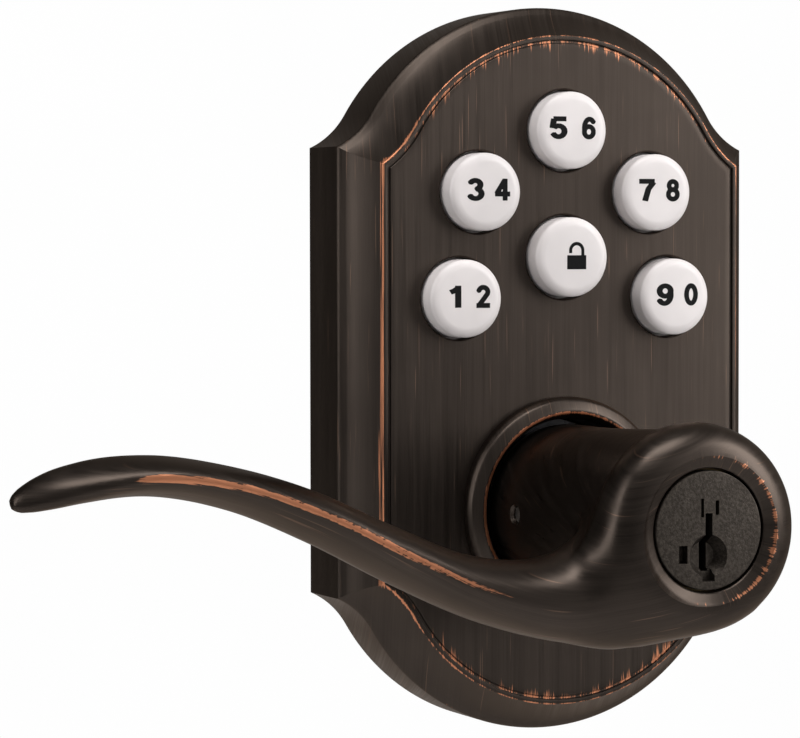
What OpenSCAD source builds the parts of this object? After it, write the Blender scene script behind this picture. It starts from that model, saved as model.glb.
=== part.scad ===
// Keypad lever lock: the outside half of an electronic lock for a bored door.
// Sizes are in millimetres. The origin is on the lever's axis, in the plane of the door's face.
// +X is to the right for someone outside, +Z is up, and the lock stands out of the door along -Y.
// Each piece is drawn lying down, with x right, y up and z out of the door, and outward() stands it up.

/* [Escutcheon] */
// Width of the escutcheon
plate_w = 71; // [66:0.5:86]
// Height of the escutcheon
plate_h = 114; // [108:0.5:140]
// How far the front lip stands out of the door
plate_depth = 18.1; // [18:0.1:24]
// Depth of the straight side wall, behind the moulded edge
side_depth = 11.1; // [9:0.1:13]
// Width of the moulded edge, seen from the front
bevel_w = 4.7; // [3:0.1:6]
// How much less than half the width the crown's radius is
crown_inset = 1.1; // [0.5:0.1:3]
// Radius of the hollow curve between crown and shoulder
cove_r = 13; // [10:0.5:16]
// Height from a shoulder to the top of the crown
shoulder_drop = 22.1; // [20:0.1:26]
// Wall thickness of the sides
side_wall = 2.2; // [1.6:0.1:3]
// Wall thickness of the front
face_wall = 2.4; // [1.8:0.1:3]
// Width of the lip between the moulded edge and the groove
lip_w = 0.7; // [0.4:0.1:1.2]
// Width of the groove round the face
groove_w = 0.5; // [0.3:0.1:1]
// Depth of the groove round the face
groove_depth = 0.4; // [0.2:0.1:0.8]

/* [Keypad] */
// Diameter of a number button
button_d = 12; // [10:0.1:12.6]
// Diameter of the lock button
lock_button_d = 12.4; // [10:0.1:12.8]
// How far a button stands out of the face
button_proud = 3.4; // [2:0.1:4]
// Travel of a button
button_travel = 1.1; // [0.8:0.1:1.4]
// Gap round a button
button_gap = 0.35; // [0.3:0.05:0.6]
// Height of a silicone dome
dome_h = 2.8; // [2.4:0.1:3.4]
// Thickness of the circuit board
board_t = 1.6; // [1:0.1:2]

/* [Lever] */
// Height of the escutcheon's middle over the lever's axis
lever_drop = 21.4; // [20:0.1:28]
// Length of the lever, from its axis to its tip
lever_length = 99; // [80:1:120]
// Distance from the door's face to the key face
lever_reach = 64.5; // [60:0.5:78]
// Radius of the lever's neck
neck_r = 13.1; // [12.6:0.1:13.6]
// Largest radius of the lever's head
head_r = 15.5; // [14.5:0.1:17]
// Outer radius of the collar round the neck
collar_r = 17.4; // [16.5:0.1:19]
// How far the collar stands out of the face
collar_proud = 3; // [2:0.1:5]
// Diameter of the release hole in the neck
catch_hole_d = 2.6; // [2:0.1:2.7]

/* [Key cylinder] */
// Radius of the key face
key_face_r = 8.7; // [8:0.1:8.9]
// Radius of the plug behind its face
plug_r = 6.4; // [5.8:0.1:7]
// Outer radius of the cylinder's shell
shell_r = 9.1; // [8.9:0.1:9.2]
// Width of the keyway
keyway_w = 2.2; // [1.6:0.1:2.6]

/* [Door side] */
// Distance from the lever's axis to each mounting post
post_offset = 19; // [18:0.5:20]
// Radius of the tapped hole in a mounting post, for a no. 8-32 screw
post_tap_r = 1.75; // [1.5:0.05:2.2]
// How far a mounting post reaches into the door
post_reach = 12; // [8:0.5:20]
// How far the spindle reaches into the door
spindle_reach = 58; // [45:1:70]
// Outer radius of the hub tube that carries the lever
hub_r = 10; // [9.8:0.1:10.4]
// Outer radius of the spindle
spindle_r = 6; // [5.4:0.1:6.4]
// Radius of the cable grommet's hole
grommet_hole_r = 3.5; // [3.2:0.1:3.8]

/* [Hidden] */
$fn = 64;

bronze = "#3b312b";
copper = "#c1825f";
steel = "#b4b6b8";
dark_steel = "#3a3936";
brass = "#b59a5b";
white = "#dcd6d2";
black = "#222222";
board_green = "#1f5a3a";
silicone = "#c9c9c2";

eps = 0.01;
running = 0.05;     // radial clearance of what turns in a bore
seat = 0.05;        // clearance of what is seated for good
apart = 0.3;        // clearance between pieces that move past each other

// Escutcheon outline: a crown arc, a hollow cove and a straight side, mirrored both ways.
crown_r = plate_w / 2 - crown_inset;
crown_centre = [0, plate_h / 2 - crown_r];
shoulder = [plate_w / 2, plate_h / 2 - shoulder_drop];
crown_to_shoulder = norm(shoulder - crown_centre);
toward = (shoulder - crown_centre) / crown_to_shoulder;
along = (pow(crown_r + cove_r, 2) - pow(cove_r, 2) + pow(crown_to_shoulder, 2))
    / (2 * crown_to_shoulder);
across = sqrt(pow(crown_r + cove_r, 2) - pow(along, 2));
cove_centre = crown_centre + along * toward + across * [-toward.y, toward.x];
crown_start = atan2(cove_centre.y - crown_centre.y, cove_centre.x - crown_centre.x);
COVE_STEPS = 6;
CROWN_STEPS = 14;
BEVEL_STEPS = 7;
bevel_hollow = 1.5; // power that bends the moulded edge into a cove, where 1 is a straight slope

// Depths over the door's face, from the front wall inwards.
face_inner = plate_depth - face_wall;
flange_t = 1.2;
flange_front = face_inner - apart;
guide_t = 1.1;
guide_front = flange_front - flange_t - button_travel - apart;
guide_back = guide_front - guide_t;
stem_r = 2;
stem_end = guide_back - 0.1;
dome_top = stem_end - apart;
board_front = dome_top - dome_h;
board_back = board_front - board_t;

// Depths over the door's face, from the door outwards.
gasket_t = 1.4;
backplate_t = 1.6;
backplate_front = gasket_t + backplate_t;
flange_of_sleeve_t = 1.2;
sleeve_back = -1;
collar_skirt = 5.3; // how far the collar's skirt reaches behind the lip
cage_back = backplate_front + flange_of_sleeve_t;
cage_front = plate_depth - collar_skirt - 0.2;
driver_t = 1.2;
driver_front = cage_front - 0.8;
driver_back = driver_front - driver_t;
sleeve_front = driver_back - 1.4;

// Radii about the lever's axis.
hub_bore = hub_r - 1.6;
sleeve_bore = hub_r + running;
sleeve_r = sleeve_bore + 1.9;
cage_r = neck_r + 1.8;
cage_wall = 0.8;
collar_bore = neck_r + 0.9;
spring_wire_r = 0.6;
spring_coil_r = (sleeve_r + cage_r - cage_wall) / 2;
spring_turns = 2.75;

// Depths of the lever.
neck_back = plate_depth - 2.4;
catch_depth = plate_depth + 9.3;
hub_front = lever_reach - 31.5;
head_depth = lever_reach - 6;
rim_depth = lever_reach + 1;
cylinder_back = lever_reach - 28.5;
plug_face_t = 1.9;
front_bore = key_face_r + 0.6;

button_places = [
    ["12", [-18.15, 11.5]], ["34", [-14.87, 27.9]], ["56", [0, 37.5]],
    ["78", [14.87, 27.9]], ["90", [18.15, 11.5]], ["lock", [0, 17.8]]
];
board_screw_places = [[-26, 20.6], [26, 20.6], [-10, 5.1], [10, 5.1]];
backplate_screw_places = [
    [-12.5, plate_h / 2 - 12.4], [12.5, plate_h / 2 - 12.4],
    [-plate_w / 2 + 11, -plate_h / 2 + 27.6], [plate_w / 2 - 11, -plate_h / 2 + 27.6]
];
grommet_y = cage_r + 6.7;

// The lever's arm, from inside the head to the tip: share of the length from the axis,
// height over the axis, distance behind the key face, half height and half thickness.
arm_stations = [
    [-0.04, -3.0, 7.5, 10.5, 5.5],
    [0.08, -6.0, 8.0, 11.0, 7.0],
    [0.20, -9.8, 10.0, 6.4, 7.6],
    [0.32, -8.2, 12.6, 4.7, 7.6],
    [0.44, -3.1, 14.8, 4.3, 7.4],
    [0.56, 2.7, 16.4, 3.9, 7.2],
    [0.68, 7.0, 17.5, 3.2, 6.8],
    [0.80, 9.1, 18.4, 2.9, 6.1],
    [0.90, 8.4, 19.2, 2.7, 4.8],
    [0.96, 7.2, 19.8, 2.0, 3.2],
    [1.00, 6.4, 20.2, 0.4, 0.8]
];
ARM_SUBSTEPS = 3;
ARM_SIDES = 20;

// ---------- helpers ----------

module outward() { rotate([90, 0, 0]) children(); }
module at_plate() { translate([0, lever_drop, 0]) children(); }

module tube(outer, inner, from, to) {
    translate([0, 0, from]) difference() {
        cylinder(r = outer, h = to - from);
        translate([0, 0, -eps]) cylinder(r = inner, h = to - from + 2 * eps);
    }
}

module rod(r, from, to) { translate([0, 0, from]) cylinder(r = r, h = to - from); }

function button_r(name) = (name == "lock" ? lock_button_d : button_d) / 2;
function place_of(name) = button_places[search([name], button_places)[0]][1];

// One quarter of the outline, from the shoulder up to the top, moved inwards by inset.
function quarter(inset) =
    let (end = 360 - acos((shoulder.x - inset - cove_centre.x) / (cove_r + inset)))
    let (start = 180 + crown_start)
    concat(
        [for (k = [0 : COVE_STEPS])
            let (a = end + (start - end) * k / COVE_STEPS)
            cove_centre + (cove_r + inset) * [cos(a), sin(a)]],
        [for (k = [1 : CROWN_STEPS])
            let (a = crown_start + (90 - crown_start) * k / CROWN_STEPS)
            crown_centre + (crown_r - inset) * [cos(a), sin(a)]]
    );

function outline(inset) =
    let (q = quarter(inset), last = len(q) - 1)
    concat(
        q,
        [for (k = [last - 1 : -1 : 0]) [-q[k].x, q[k].y]],
        [for (k = [0 : last]) [-q[k].x, -q[k].y]],
        [for (k = [last - 1 : -1 : 1]) [q[k].x, -q[k].y]],
        [[q[0].x, -q[0].y]]
    );

module plate_slab(inset, from, to) {
    translate([0, 0, from]) linear_extrude(to - from) polygon(outline(inset));
}

// Closed solid through rings of points that all have the same count.
module loft(rings) {
    n = len(rings[0]);
    count = len(rings);
    polyhedron(
        points = [for (ring = rings) for (p = ring) p],
        faces = concat(
            [[for (k = [0 : n - 1]) k]],
            [for (i = [0 : count - 2], k = [0 : n - 1])
                let (a = i * n + k, b = i * n + (k + 1) % n)
                each [[a, a + n, b], [b, a + n, b + n]]],
            [[for (k = [n - 1 : -1 : 0]) (count - 1) * n + k]]
        )
    );
}

// The outline is symmetrical, so -p.x only turns its points the other way round.
function bevel_ring(t) =
    let (depth = side_depth + (plate_depth - side_depth) * pow(t, bevel_hollow))
    [for (p = outline(bevel_w * t)) [-p.x, p.y, depth]];

// Smooth curve through the rows of a table, at row number t.
function through(rows, t) =
    let (i = min(floor(t), len(rows) - 2), f = t - i)
    let (a = rows[max(i - 1, 0)], b = rows[i], c = rows[i + 1], d = rows[min(i + 2, len(rows) - 1)])
    0.5 * (2 * b + (c - a) * f + (2 * a - 5 * b + 4 * c - d) * f * f
        + (3 * b - a - 3 * c + d) * f * f * f);

// ---------- housing ----------

module escutcheon_body() {
    loft(concat(
        [for (k = [BEVEL_STEPS : -1 : 0]) bevel_ring(k / BEVEL_STEPS)],
        [[for (p = outline(0)) [-p.x, p.y, 0]]]
    ));
}

module escutcheon_cavity() {
    plate_slab(side_wall, -eps, side_depth - 0.6);
    plate_slab(bevel_w + 1.7, side_depth - 1, face_inner);
}

module face_groove() {
    translate([0, 0, plate_depth - groove_depth]) linear_extrude(groove_depth + eps) difference() {
        polygon(outline(bevel_w + lip_w));
        polygon(outline(bevel_w + lip_w + groove_w));
    }
}

module screw_boss(place, r, pilot_r, from) {
    translate([place.x, place.y, 0]) difference() {
        rod(r, from, face_inner + eps);
        rod(pilot_r, from - eps, face_inner - 1);
    }
}

module escutcheon() {
    color(bronze) outward() at_plate() union() {
        difference() {
            escutcheon_body();
            escutcheon_cavity();
            face_groove();
            for (b = button_places) translate([b[1].x, b[1].y, 0])
                rod(button_r(b[0]) + button_gap, face_inner - eps, plate_depth + eps);
            translate([0, -lever_drop, 0]) rod(collar_bore + 1.2, face_inner - eps, plate_depth + eps);
        }
        for (p = backplate_screw_places) screw_boss(p, 3, 1.25, backplate_front);
        for (p = board_screw_places) screw_boss(p, 2.4, 0.9, guide_front);
    }
}

module lever_collar() {
    skirt_r = collar_bore + 1.2 - seat;
    color(bronze) outward() rotate_extrude() polygon([
        [collar_bore, plate_depth - collar_skirt], [skirt_r, plate_depth - collar_skirt],
        [skirt_r, plate_depth], [collar_r, plate_depth],
        [collar_r, plate_depth + 0.55 * collar_proud],
        [collar_r - 0.5, plate_depth + 0.8 * collar_proud],
        [collar_bore + 1.3, plate_depth + collar_proud],
        [collar_bore + 0.8, plate_depth + collar_proud - 0.1],
        [collar_bore, plate_depth + 0.5 * collar_proud]
    ]);
}

module gasket() {
    color(black) outward() at_plate() difference() {
        plate_slab(side_wall + 0.5, 0, gasket_t);
        plate_slab(side_wall + 4, -eps, gasket_t + eps);
    }
}

module backplate() {
    color(steel) outward() difference() {
        at_plate() plate_slab(side_wall + 0.3, gasket_t, backplate_front);
        at_plate() for (p = backplate_screw_places) translate([p.x, p.y, 0])
            rod(1.45, gasket_t - eps, backplate_front + eps);
        rod(sleeve_r + seat, gasket_t - eps, backplate_front + eps);
        for (side = [-1, 1]) translate([side * post_offset, 0, 0])
            rod(2.9 + seat, gasket_t - eps, backplate_front + eps);
        translate([0, grommet_y, 0]) rod(grommet_hole_r + 1, gasket_t - eps, backplate_front + eps);
    }
}

module backplate_screws() {
    shank_end = face_inner - 3;
    color(steel) outward() at_plate() for (p = backplate_screw_places) translate([p.x, p.y, 0])
        difference() {
            union() {
                rod(2.3, gasket_t - 1.2, gasket_t);
                rod(1.2, gasket_t - eps, shank_end);
            }
            for (turn = [0, 90]) rotate(turn) translate([-1.4, -0.25, gasket_t - 1.2 - eps])
                cube([2.8, 0.5, 0.7]);
        }
}

module mounting_posts() {
    color(steel) outward() for (side = [-1, 1]) translate([side * post_offset, 0, 0])
        rotate_extrude() polygon([
            [0, backplate_front - 0.6], [post_tap_r, backplate_front - 0.6],
            [post_tap_r, -post_reach], [3.2, -post_reach], [3.6, 0.4 - post_reach],
            [3.6, gasket_t], [2.9, gasket_t], [2.9, backplate_front],
            [3.9, backplate_front], [3.5, backplate_front + 1.1], [0, backplate_front + 1.1]
        ]);
}

module bearing_sleeve() {
    color(brass) outward() rotate_extrude() polygon([
        [sleeve_bore, sleeve_back], [sleeve_r, sleeve_back], [sleeve_r, backplate_front],
        [cage_r - 0.3, backplate_front], [cage_r - 0.3, cage_back], [sleeve_r, cage_back],
        [sleeve_r, sleeve_front], [sleeve_bore, sleeve_front]
    ]);
}

// Thin ring round the spring, with a slot that holds the spring's outer end.
module spring_cage() {
    color(steel) outward() difference() {
        tube(cage_r, cage_r - cage_wall, cage_back, cage_front);
        translate([0, -cage_r, cage_back + 1]) cube([2 * cage_r, 1.6, 2 * spring_wire_r + 0.4], true);
        rotate(-90) translate([0, 0, cage_back - eps])
            linear_extrude(2 * spring_wire_r + 0.8) polygon([[0, 0], [2 * cage_r, -1.6], [2 * cage_r, 1.6]]);
    }
}

function spring_ring(t, low, high) =
    let (a = -90 + 360 * spring_turns * t, z = low + (high - low) * t)
    [for (k = [0 : 7])
        let (b = 45 * k, r = spring_coil_r + spring_wire_r * cos(b))
        [r * cos(a), r * sin(a), z + spring_wire_r * sin(b)]];

module return_spring() {
    low = cage_back + spring_wire_r + 0.15;
    high = driver_back - spring_wire_r - 0.35;
    steps = round(spring_turns * 20);
    color(dark_steel) outward() loft([for (k = [0 : steps]) spring_ring(k / steps, low, high)]);
}

module cable_grommet() {
    lip = grommet_hole_r + 1.8;
    color(black) outward() translate([0, grommet_y, 0]) rotate_extrude() polygon([
        [grommet_hole_r, 0.3], [lip - 0.4, 0.3], [lip, gasket_t],
        [grommet_hole_r + 1 - seat, gasket_t], [grommet_hole_r + 1 - seat, backplate_front],
        [lip, backplate_front], [lip - 0.4, backplate_front + 1.1],
        [grommet_hole_r, backplate_front + 1.1]
    ]);
}

// ---------- keypad ----------

// Upper part of the escutcheon's inside, as a flat sheet that ends just above the grommet's middle.
module keypad_sheet(inset, from, to) {
    bottom = grommet_y + 1 - lever_drop;
    translate([0, 0, from]) linear_extrude(to - from) intersection() {
        polygon(outline(inset));
        translate([-plate_w / 2, bottom]) square([plate_w, plate_h]);
    }
}

module board_cutouts(from, to, r) {
    for (p = board_screw_places) translate([p.x, p.y, 0]) rod(r, from - eps, to + eps);
    for (p = backplate_screw_places) translate([p.x, p.y, 0]) rod(3 + apart, from - eps, to + eps);
}

module button_guide() {
    color(black) outward() at_plate() difference() {
        keypad_sheet(bevel_w + 2, guide_back, guide_front);
        board_cutouts(guide_back, guide_front, 1);
        for (b = button_places) translate([b[1].x, b[1].y, 0])
            rod(stem_r + apart, guide_back - eps, guide_front + eps);
    }
}

module circuit_board() {
    color(board_green) outward() at_plate() difference() {
        keypad_sheet(bevel_w + 2.4, board_back, board_front);
        board_cutouts(board_back, board_front, 1);
    }
}

module board_screws() {
    color(steel) outward() at_plate() for (p = board_screw_places) translate([p.x, p.y, 0])
        difference() {
            union() {
                rod(1.9, board_back - 1.1, board_back);
                rod(0.85, board_back - eps, face_inner - 1.6);
            }
            for (turn = [0, 90]) rotate(turn) translate([-1.1, -0.2, board_back - 1.1 - eps])
                cube([2.2, 0.4, 0.5]);
        }
}

module controller_chip() {
    color(black) outward() at_plate() translate([0, 24, board_back - 1.2])
        translate([-4.5, -4.5, 0]) cube([9, 9, 1.2]);
}

module buzzer() {
    color(black) outward() at_plate() translate([0, 41, 0]) difference() {
        rod(5, board_back - 2.2, board_back);
        rod(0.8, board_back - 2.2 - eps, board_back - 1.4);
    }
}

module board_connector() {
    color(white) outward() at_plate() translate([-6, 8.5, board_back - 2]) difference() {
        cube([12, 5, 2]);
        translate([0.8, -eps, 0.5]) cube([10.4, 3.6, 1]);
    }
}

module dome(name) {
    p = place_of(name);
    color(silicone) outward() at_plate() translate([p.x, p.y, 0]) rotate_extrude() polygon([
        [0, board_front + 0.6], [1.3, board_front + 0.6], [1.3, dome_top - 0.9],
        [1.9, dome_top - 0.9], [3.2, board_front + 0.5], [3.2, board_front],
        [4.4, board_front], [4.4, board_front + 0.7], [3.7, board_front + 0.9],
        [2.5, dome_top - 0.2], [2.2, dome_top], [0, dome_top]
    ]);
}

module button(name) {
    p = place_of(name);
    r = button_r(name);
    top = plate_depth + button_proud;
    color(white) outward() at_plate() translate([p.x, p.y, 0]) rotate_extrude() polygon([
        [0, stem_end], [stem_r, stem_end], [stem_r, flange_front - flange_t],
        [r + 1, flange_front - flange_t], [r + 1, flange_front], [r, flange_front],
        [r, top - 1], [r - 0.25, top - 0.5], [r - 0.8, top - 0.2], [r - 2.5, top - 0.05],
        [0, top]
    ]);
}

module dome_12() { dome("12"); }
module dome_34() { dome("34"); }
module dome_56() { dome("56"); }
module dome_78() { dome("78"); }
module dome_90() { dome("90"); }
module dome_lock() { dome("lock"); }
module button_12() { button("12"); }
module button_34() { button("34"); }
module button_56() { button("56"); }
module button_78() { button("78"); }
module button_90() { button("90"); }
module button_lock() { button("lock"); }

// ---------- lever ----------

// Lens-shaped section of the arm, with a ridge along its front.
function arm_ring(t) =
    let (s = through(arm_stations, t))
    let (x = -lever_length * s[0], y = s[1], z = lever_reach - s[2])
    [for (k = [0 : ARM_SIDES - 1])
        let (a = 360 * k / ARM_SIDES, c = cos(a))
        let (reach = c > 0 ? pow(c, 1.35) : -pow(-c, 0.85))
        [x, y + s[3] * sin(a), z + s[4] * reach]];

module lever_arm() {
    rows = (len(arm_stations) - 1) * ARM_SUBSTEPS;
    loft([for (k = [0 : rows]) arm_ring(k / ARM_SUBSTEPS)]);
}

module lever_head() {
    rotate_extrude() polygon([
        [0, neck_back], [neck_r - 0.3, neck_back], [neck_r, neck_back + 0.3],
        [neck_r, hub_front - 3], [neck_r + 0.4, hub_front + 9], [neck_r + 1.1, hub_front + 17],
        [head_r - 0.4, head_depth - 3.5], [head_r, head_depth], [head_r - 0.3, head_depth + 2.4],
        [head_r - 1.4, head_depth + 4.6], [head_r - 3, head_depth + 6.2],
        [front_bore + 1.6, rim_depth], [front_bore + 0.9, rim_depth - 0.3], [0, rim_depth - 0.3]
    ]);
}

module lever_handle() {
    color(bronze) outward() difference() {
        union() {
            lever_head();
            lever_arm();
        }
        rod(hub_r + seat, neck_back - eps, hub_front + 0.3);
        rod(front_bore, hub_front, rim_depth);
        translate([0, 0, rim_depth - 2]) cylinder(r1 = front_bore, r2 = front_bore + 1.5, h = 2.4);
        translate([0, 0, catch_depth]) rotate([0, -90, 0]) cylinder(r = catch_hole_d / 2, h = 2 * neck_r);
    }
}

module drive_hub() {
    color(steel) outward() difference() {
        tube(hub_r, hub_bore, sleeve_back - 2.6, hub_front);
        tube(hub_r + 1, hub_r - 0.7, sleeve_back - 1.4, sleeve_back - apart);
        translate([0, 0, catch_depth]) rotate([0, -90, 0]) cylinder(r = catch_hole_d / 2, h = 2 * hub_r);
    }
}

module hub_clip() {
    color(dark_steel) outward() difference() {
        tube(hub_r + 2.2, hub_r - 0.7 + seat, sleeve_back - 1.35, sleeve_back - apart - 0.05);
        translate([0, -hub_r - 1, sleeve_back - 2]) cube([3, 4, 4], true);
    }
}

// Washer keyed to the hub, with a lug that pushes the spring's inner end.
module spring_driver() {
    washer_r = cage_r - cage_wall - 0.4;
    color(steel) outward() difference() {
        tube(washer_r, hub_r + seat, driver_back, driver_front);
        for (side = [-1, 1]) translate([side * (washer_r + 1.2), 0, driver_back - eps])
            cylinder(r = 2.2, h = driver_t + 1);
    }
}

// Tube with two flats, on a flange that is pressed into the hub.
module spindle() {
    flat = spindle_r - 1;
    color(steel) outward() difference() {
        union() {
            rod(hub_bore - seat, 6, 9);
            rod(spindle_r, -spindle_reach, 6 + eps);
        }
        rod(spindle_r - 1.6, -spindle_reach - eps, 9 + eps);
        for (side = [0, 180]) rotate(side)
            translate([flat, -spindle_r, -spindle_reach - eps])
            cube([spindle_r, 2 * spindle_r, spindle_reach + 0.5]);
    }
}

module cylinder_shell() {
    color(brass) outward() tube(shell_r, plug_r + running, cylinder_back, lever_reach - plug_face_t - apart);
}

module lever_catch() {
    block = 3.4;
    color(steel) outward() translate([0, 0, catch_depth]) union() {
        translate([-hub_bore + 0.25, -block / 2, -block / 2]) cube([1.7, block, block]);
        rotate([0, -90, 0]) translate([0, 0, hub_bore - 0.3])
            cylinder(r = catch_hole_d / 2 - 0.08, h = neck_r - hub_bore - 0.4);
    }
}

// Open ring that rests on the hub's far wall and pushes the catch out.
module catch_spring() {
    ring_r = hub_bore - 1.05 - seat;
    color(dark_steel) outward() translate([1, 0, catch_depth - 1.6]) difference() {
        tube(ring_r, ring_r - 0.35, 0, 3.2);
        translate([-2, 0, -eps]) cube([2 * ring_r, 2 * ring_r, 4]);
    }
}

// ---------- key cylinder ----------

module keyway(from, to) {
    translate([-keyway_w / 2, -6.2, from]) cube([keyway_w, 4, to - from]);
    translate([-keyway_w / 4, -2.4, from]) cube([keyway_w / 2, 4.9, to - from]);
}

module key_plug() {
    face_back = lever_reach - plug_face_t;
    color(dark_steel) outward() difference() {
        union() {
            rod(plug_r, cylinder_back - 2.6, face_back + eps);
            rod(key_face_r, face_back, lever_reach);
        }
        keyway(cylinder_back + 1, lever_reach + eps);
        translate([0, -3.7, lever_reach - 1.5]) cylinder(r = 2.9, h = 2);
        translate([-4.9, -4.7, lever_reach - 1.4]) cube([1.4, 2.6, 2]);
        tube(plug_r + 1, plug_r - 0.8, cylinder_back - 1.4, cylinder_back - 0.2);
        for (k = [0 : 4]) translate([2.6, -plug_r, cylinder_back + 4 + 4 * k])
            rotate([-90, 0, 0]) cylinder(r = 0.85, h = plug_r + 2.2);
        translate([plug_r - 1.9, -0.9, cylinder_back + 2.5]) cube([3, 1.8, 20]);
    }
}

module key_pins() {
    color(brass) outward() for (k = [0 : 4]) translate([2.6, -plug_r + 1.4, cylinder_back + 4 + 4 * k])
        rotate([-90, 0, 0]) cylinder(r = 0.8, h = plug_r + 0.6);
}

module sidebar() {
    color(brass) outward() translate([plug_r - 1.85, -0.85, cylinder_back + 2.55]) cube([1.5, 1.7, 19.9]);
}

module plug_clip() {
    color(dark_steel) outward() difference() {
        tube(plug_r + 1.8, plug_r - 0.8 + seat, cylinder_back - 1.35, cylinder_back - apart - 0.05);
        translate([0, -plug_r, cylinder_back - 1]) cube([3, 4, 4], true);
    }
}

module tailpiece() {
    color(steel) outward() translate([-2.6, -0.8, -spindle_reach - 4])
        cube([5.2, 1.6, cylinder_back - 2.6 + spindle_reach + 4]);
}

escutcheon();
lever_collar();
gasket();
backplate();
backplate_screws();
mounting_posts();
bearing_sleeve();
spring_cage();
return_spring();
cable_grommet();
button_guide();
circuit_board();
board_screws();
controller_chip();
buzzer();
board_connector();
dome_12();
dome_34();
dome_56();
dome_78();
dome_90();
dome_lock();
button_12();
button_34();
button_56();
button_78();
button_90();
button_lock();
lever_handle();
drive_hub();
hub_clip();
spring_driver();
spindle();
cylinder_shell();
lever_catch();
catch_spring();
key_plug();
key_pins();
sidebar();
plug_clip();
tailpiece();
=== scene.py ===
"""Looks of the keypad lever lock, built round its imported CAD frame.

Sketch coordinates are x to the right, y up and z out of the door, in millimetres, from the lever's
axis at the door's face. put() turns them into the row frame, where the lock stands out along -Y,
in metres.
"""
import math

import bmesh
import bpy
import numpy as np
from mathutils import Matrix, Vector


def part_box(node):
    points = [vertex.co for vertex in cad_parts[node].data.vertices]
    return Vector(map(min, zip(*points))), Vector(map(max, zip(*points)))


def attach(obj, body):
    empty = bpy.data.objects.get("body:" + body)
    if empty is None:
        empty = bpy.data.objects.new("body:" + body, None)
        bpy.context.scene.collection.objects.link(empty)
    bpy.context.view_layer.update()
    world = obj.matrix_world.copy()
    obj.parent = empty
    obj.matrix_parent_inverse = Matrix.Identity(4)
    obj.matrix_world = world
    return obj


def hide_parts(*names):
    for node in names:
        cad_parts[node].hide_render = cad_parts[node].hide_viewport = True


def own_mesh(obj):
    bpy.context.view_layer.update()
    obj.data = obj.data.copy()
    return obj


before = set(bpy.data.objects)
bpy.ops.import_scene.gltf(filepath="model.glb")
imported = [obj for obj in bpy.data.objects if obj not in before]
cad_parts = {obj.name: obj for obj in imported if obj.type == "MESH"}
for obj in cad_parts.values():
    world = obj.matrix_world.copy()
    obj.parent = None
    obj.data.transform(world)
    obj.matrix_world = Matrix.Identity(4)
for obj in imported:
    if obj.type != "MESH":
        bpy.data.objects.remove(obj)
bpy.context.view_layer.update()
MM = 0.001


# ---------------------------------------------------------------- sizes from the frame

def depth_range(node):
    """Lowest and highest distance of a node in front of the door's face, in millimetres."""
    low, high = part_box(node)
    return -high.y / MM, -low.y / MM


def middle(node):
    """A node's middle in sketch coordinates, x and y."""
    low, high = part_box(node)
    return (low.x + high.x) / 2 / MM, (low.z + high.z) / 2 / MM


def width_of(node):
    low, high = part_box(node)
    return (high.x - low.x) / MM


plate_low, plate_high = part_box("escutcheon")
PLATE_W = (plate_high.x - plate_low.x) / MM
PLATE_H = (plate_high.z - plate_low.z) / MM
PLATE_Y = middle("escutcheon")[1]
FACE = depth_range("escutcheon")[1]
SIDE_DEPTH = 11.1  # height of the plain side wall
BEVEL_W = 4.7  # width of the moulded edge
BEVEL_HOLLOW = 1.5  # power of the edge's curve, 1 for a straight bevel
LIP_W = 0.7
GROOVE_W = 0.5
GROOVE_DEPTH = 0.4
GROOVE_START = BEVEL_W + LIP_W
SIDE_WALL = 2.2
FACE_WALL = 2.4
CROWN_R = PLATE_W / 2 - 1.1
COVE_R = 13.0
SHOULDER = np.array([PLATE_W / 2, PLATE_H / 2 - 22.1])
CROWN_CENTRE = np.array([0.0, PLATE_H / 2 - CROWN_R])
COLLAR_R = width_of("lever_collar") / 2
COLLAR_BORE = 14.0
COLLAR_SKIRT = COLLAR_BORE + 1.15  # outside radius of the collar's part in the escutcheon
NECK_R = 13.1
NECK_BACK = depth_range("lever_handle")[0]
KEY_FACE = depth_range("key_plug")[1]
KEY_R = width_of("key_plug") / 2
RIM = KEY_FACE + 1.0
HEAD_R = 15.5
FRONT_BORE = KEY_R + 0.3
HUB_FRONT = depth_range("drive_hub")[1]
CATCH_DEPTH = sum(depth_range("lever_catch")) / 2
BUTTONS = ("12", "34", "56", "78", "90", "lock")
BUTTON_GAP = 0.35
PLUG_R = 6.4


# ---------------------------------------------------------------- mesh helpers

def put(points):
    """Sketch millimetres to row-frame metres."""
    p = np.asarray(points, dtype=float)
    return np.stack([p[..., 0], -p[..., 2], p[..., 1]], axis=-1) * MM


def mesh_object(name, points, faces):
    mesh = bpy.data.meshes.new(name)
    mesh.from_pydata([tuple(p) for p in put(points)], [], [tuple(f) for f in faces])
    mesh.validate()
    obj = bpy.data.objects.new(name, mesh)
    bpy.context.scene.collection.objects.link(obj)
    return obj


def outward_normals(obj):
    bm = bmesh.new()
    bm.from_mesh(obj.data)
    bmesh.ops.recalc_face_normals(bm, faces=bm.faces)
    bm.to_mesh(obj.data)
    bm.free()


def smooth(obj, angle=32):
    """Smooth shading, with edges sharper than angle degrees kept sharp."""
    obj.data.shade_smooth()
    obj.data.set_sharp_from_angle(angle=math.radians(angle))


def sketch_points(obj):
    """An object's vertices in sketch millimetres."""
    n = len(obj.data.vertices)
    flat = np.empty(n * 3)
    obj.data.vertices.foreach_get("co", flat)
    p = flat.reshape(n, 3) / MM
    return np.stack([p[:, 0], p[:, 2], -p[:, 1]], axis=1)


def set_value(obj, name, values):
    attribute = obj.data.attributes.new(name, "FLOAT", "POINT")
    attribute.data.foreach_set("value", np.asarray(values, dtype=float))


def set_vector(obj, name, values):
    attribute = obj.data.attributes.new(name, "FLOAT_VECTOR", "POINT")
    attribute.data.foreach_set("vector", np.asarray(values, dtype=float).ravel())


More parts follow.
